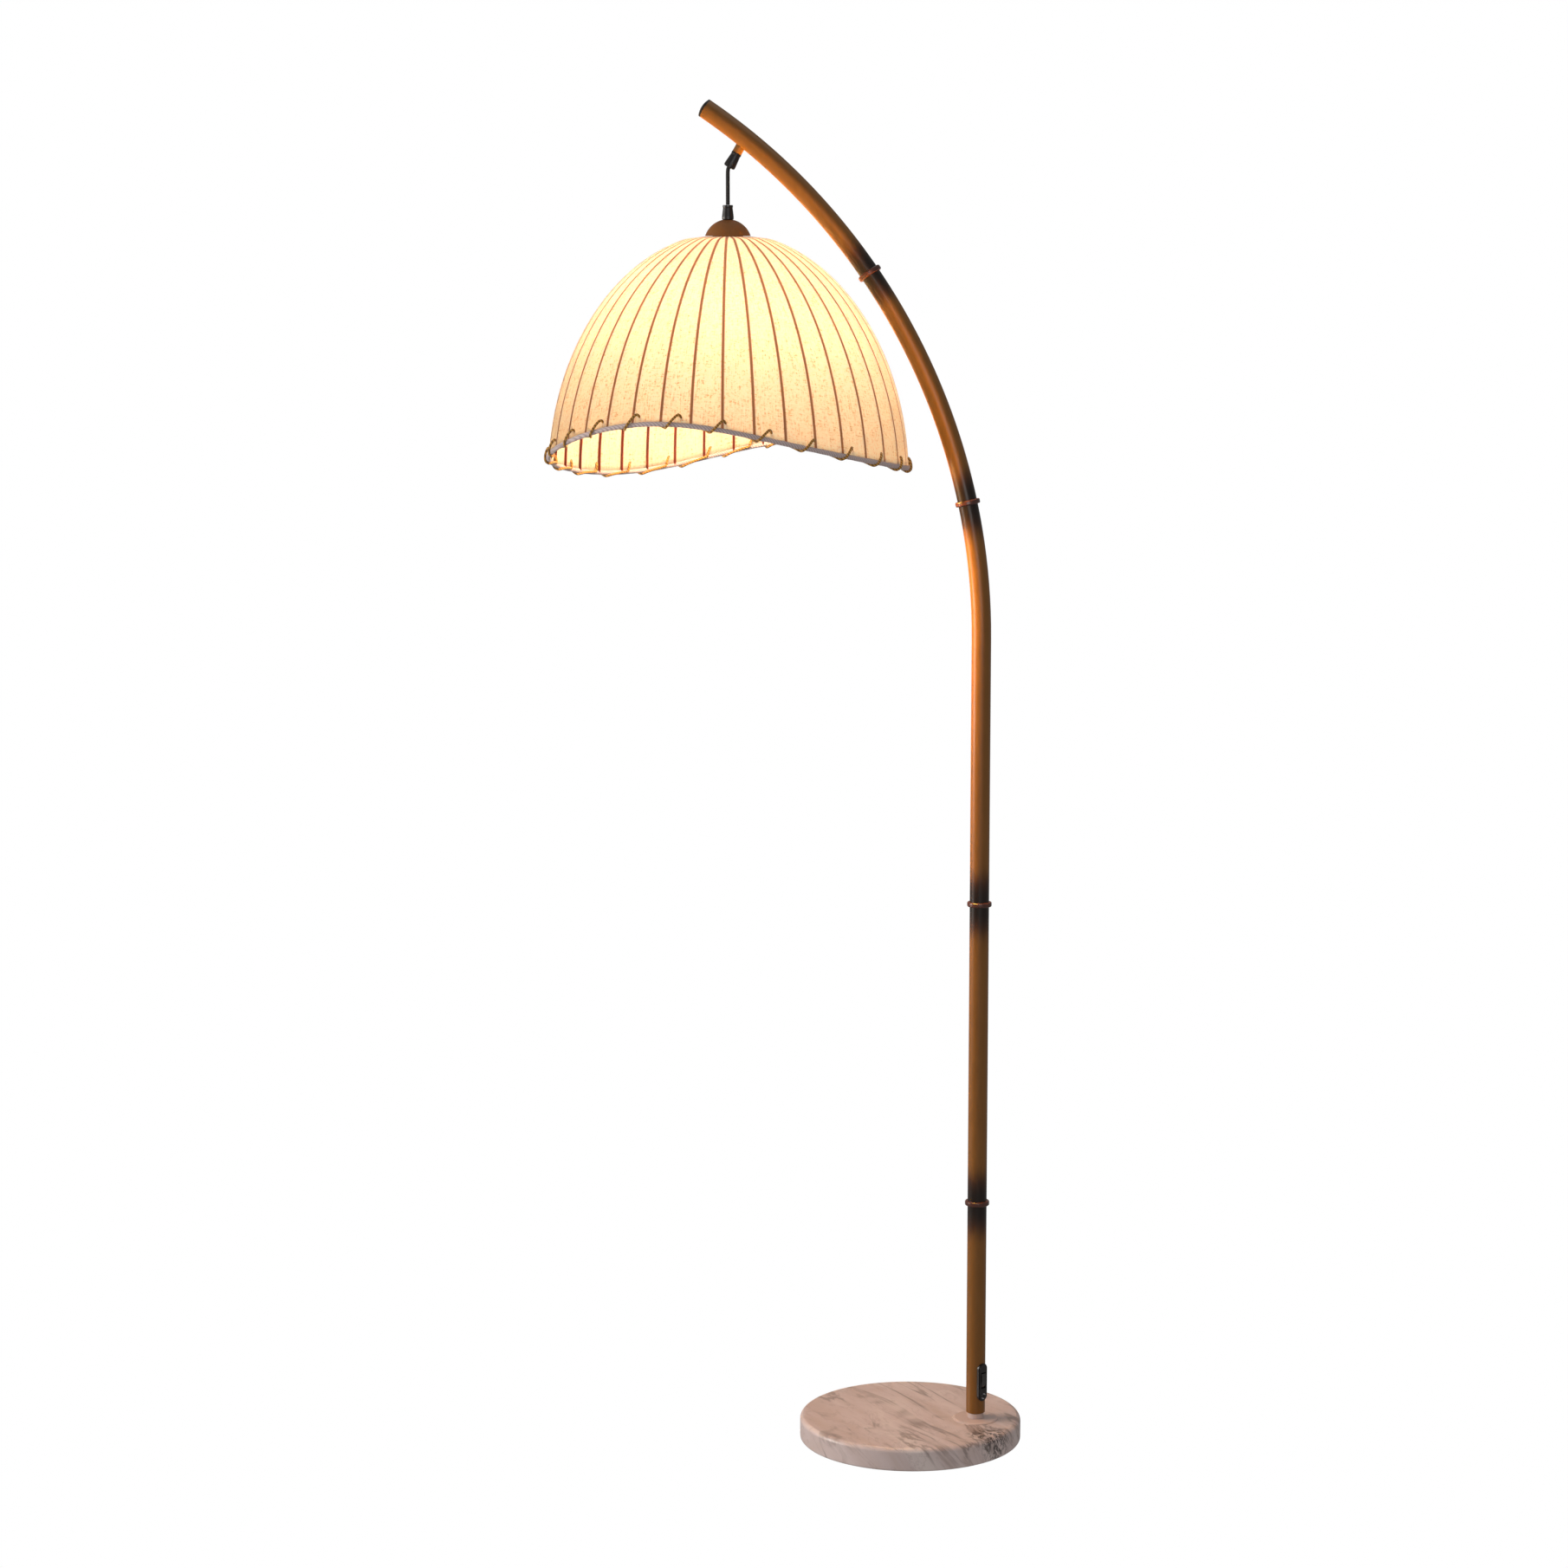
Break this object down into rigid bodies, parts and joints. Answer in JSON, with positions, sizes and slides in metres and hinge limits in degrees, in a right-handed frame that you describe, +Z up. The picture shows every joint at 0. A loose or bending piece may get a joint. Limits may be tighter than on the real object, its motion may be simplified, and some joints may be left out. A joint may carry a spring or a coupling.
{
  "type": "arc floor lamp",
  "caption": "An arc floor lamp with a bronze bamboo-style steel pole on a round marble base; a linen dome shade with a waved, laced rim hangs lit on a short black cord.",
  "frame": {"origin": "Centre of the base's underside, on the floor.", "axes": "+Z up. The arm lies in the XZ plane and reaches from the pole, at +X of the origin, towards -X. +Y is the back; the switch faces the front right."},
  "size_m": [0.6033, 0.4484, 1.6791],
  "materials": {
    "marble": "polished beige marble with brown veins",
    "foam": "soft anti-scratch foam",
    "cord_rubber": "smooth black flex sheath",
    "zinc_steel": "plain zinc plated steel",
    "pale_paint": "satin off-white paint",
    "bronze_paint": "satin brown paint, darkened by hand beside the rings",
    "ring_paint": "satin dark brown paint",
    "bright_chrome": "polished",
    "white_ceramic": "unglazed white",
    "brass_sheet": "plain pressed brass",
    "bulb_frost": "frosted, lit warm white",
    "cap_alloy": "rolled screw cap",
    "filament_strip": "lit emitter strips",
    "wire_paint": "dark red-brown lacquered wire",
    "linen": "thin slubbed linen, lit from inside",
    "hem_tape": "folded woven tape",
    "lace_cord": "twisted brown cord",
    "black_plastic": "smooth moulded",
    "green_board": "switch board"
  },
  "bodies": {
    "stand": {"marble_base": "marble", "base_pad": "foam", "cable_grommet": "cord_rubber", "base_nut": "zinc_steel", "base_washer": "zinc_steel", "hollow_stud": "zinc_steel", "foot_plate": "pale_paint", "foot_collar": "pale_paint", "foot_insert": "zinc_steel", "pole_section_1": "bronze_paint", "pole_section_2": "bronze_paint", "pole_section_3": "bronze_paint", "arm_section_1": "bronze_paint", "arm_section_2": "bronze_paint", "node_ring_1": "ring_paint", "node_ring_2": "ring_paint", "node_ring_3": "ring_paint", "node_ring_4": "ring_paint", "coupler_1": "zinc_steel", "coupler_2": "zinc_steel", "coupler_3": "zinc_steel", "coupler_4": "zinc_steel", "arm_end_cap": "black_plastic", "arm_boss": "bronze_paint", "arm_grip": "black_plastic", "arm_grip_screw": "black_plastic", "pole_cable": "cord_rubber", "arm_cable": "cord_rubber", "switch_housing": "black_plastic", "dimmer_ring": "bright_chrome", "switch_module": "green_board"},
    "pendant_link": {"pendant_cord": "cord_rubber"},
    "lampholder": {"pendant_grip": "black_plastic", "pendant_grip_screw": "black_plastic", "holder_lead": "cord_rubber", "canopy_cap": "bronze_paint", "lamp_nipple": "zinc_steel", "lock_nut": "zinc_steel", "holder_cap": "black_plastic", "holder_body": "black_plastic", "holder_insulator": "white_ceramic", "holder_shell": "brass_sheet", "holder_contact": "brass_sheet", "shade_ring": "black_plastic", "bulb_glass": "bulb_frost", "bulb_cap": "cap_alloy", "bulb_filament": "filament_strip"},
    "shade": {"shade_fitter": "wire_paint", "shade_top_ring": "wire_paint", "shade_ribs": "wire_paint", "shade_bottom_ring": "wire_paint", "shade_fabric": "linen", "rim_binding": "hem_tape", "rim_lacing": "lace_cord"},
    "rocker": {"switch_rocker": "black_plastic"},
    "push_button": {"dimmer_button": "black_plastic"}
  },
  "joints": [
    {"name": "cord_swing", "type": "hinge", "parent": "stand", "child": "pendant_link", "pos_m": [-0.23451, 0, 1.59459], "axis": [0, 1, 0], "range_deg": [-3.5, 20]},
    {"name": "shade_sway", "type": "hinge", "parent": "pendant_link", "child": "lampholder", "pos_m": [-0.23451, 0, 1.55459], "axis": [1, 0, 0], "range_deg": [-15, 15]},
    {"name": "shade_turn", "type": "hinge", "parent": "lampholder", "child": "shade", "pos_m": [-0.23451, 0, 1.49399], "axis": [0, 0, 1], "continuous": true},
    {"name": "switch_tilt", "type": "hinge", "parent": "stand", "child": "rocker", "pos_m": [0.09119, -0.00542, 0.0835], "axis": [0.6018, 0.7986, 0], "range_deg": [-12, 0]},
    {"name": "button_press", "type": "slide", "parent": "stand", "child": "push_button", "axis": [-0.7986, 0.6018, 0], "range_m": [0, 0.0012], "stiffness_N_per_m": 400, "springref_m": -0.001}
  ]
}
